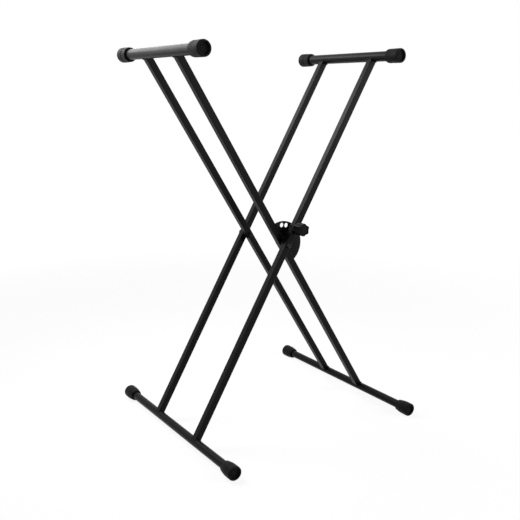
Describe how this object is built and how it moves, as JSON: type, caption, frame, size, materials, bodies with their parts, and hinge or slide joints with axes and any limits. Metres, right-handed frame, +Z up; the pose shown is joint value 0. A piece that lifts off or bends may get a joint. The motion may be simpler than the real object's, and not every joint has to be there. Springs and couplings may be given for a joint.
{
  "type": "folding keyboard stand",
  "caption": "Folding X stand of square black steel tube with round capped arms and feet, a half-moon lock plate and a spring pull knob.",
  "frame": {"origin": "on the floor, under the middle of the open stand, below the pivot line", "axes": "+Z up, the longest way of the open stand; +Y along the pivot line and the arms, from the knob end (front, -Y) to the rear; X is the way the frames open"},
  "size_m": [0.5288, 0.507, 0.8481],
  "materials": {
    "powder_coat": "satin black powder coat with a fine orange-peel grain",
    "rubber": "matt black moulded rubber, ribbed on the tube side of the arm caps, smooth on the flared foot caps",
    "knob_plastic": "black moulded plastic, satin",
    "black_steel": "black oxide, low sheen",
    "nylon": "black nylon, matt",
    "steel": "bright zinc, brushed"
  },
  "bodies": {
    "inner_frame": {"inner_leg_front": "powder_coat", "inner_leg_rear": "powder_coat", "inner_arm": "powder_coat", "inner_foot_tube": "powder_coat", "inner_arm_cap_front": "rubber", "inner_arm_cap_rear": "rubber", "inner_foot_cap_front": "rubber", "inner_foot_cap_rear": "rubber", "lock_plate": "powder_coat", "pivot_bolt_front": "black_steel", "pivot_head_washer_front": "black_steel", "pivot_spacer_front": "nylon", "inner_leg_sleeve_front": "steel", "pivot_nut_washer_front": "black_steel", "pivot_lock_nut_front": "black_steel", "pivot_bolt_rear": "black_steel", "pivot_head_washer_rear": "black_steel", "pivot_spacer_rear": "nylon", "inner_leg_sleeve_rear": "steel", "pivot_nut_washer_rear": "black_steel", "pivot_lock_nut_rear": "black_steel"},
    "outer_frame": {"outer_leg_front": "powder_coat", "outer_leg_rear": "powder_coat", "outer_arm": "powder_coat", "outer_foot_tube": "powder_coat", "outer_arm_cap_front": "rubber", "outer_arm_cap_rear": "rubber", "outer_foot_cap_front": "rubber", "outer_foot_cap_rear": "rubber", "plunger_barrel": "powder_coat", "plunger_spring": "steel", "outer_leg_sleeve_front": "steel", "outer_leg_sleeve_rear": "steel"},
    "pull_pin": {"lock_pin": "black_steel", "spring_seat_washer": "black_steel", "pull_knob": "knob_plastic", "knob_face_cap": "knob_plastic"}
  },
  "joints": [
    {"name": "fold", "type": "hinge", "parent": "inner_frame", "child": "outer_frame", "pos_m": [0, 0, 0.42628], "axis": [0, 1, 0], "range_deg": [-58.5, 16.43]},
    {"name": "pull", "type": "slide", "parent": "outer_frame", "child": "pull_pin", "axis": [0, -1, 0], "range_m": [0, 0.007], "stiffness_N_per_m": 800, "springref_m": -0.01, "deforming": ["plunger_spring"]}
  ]
}
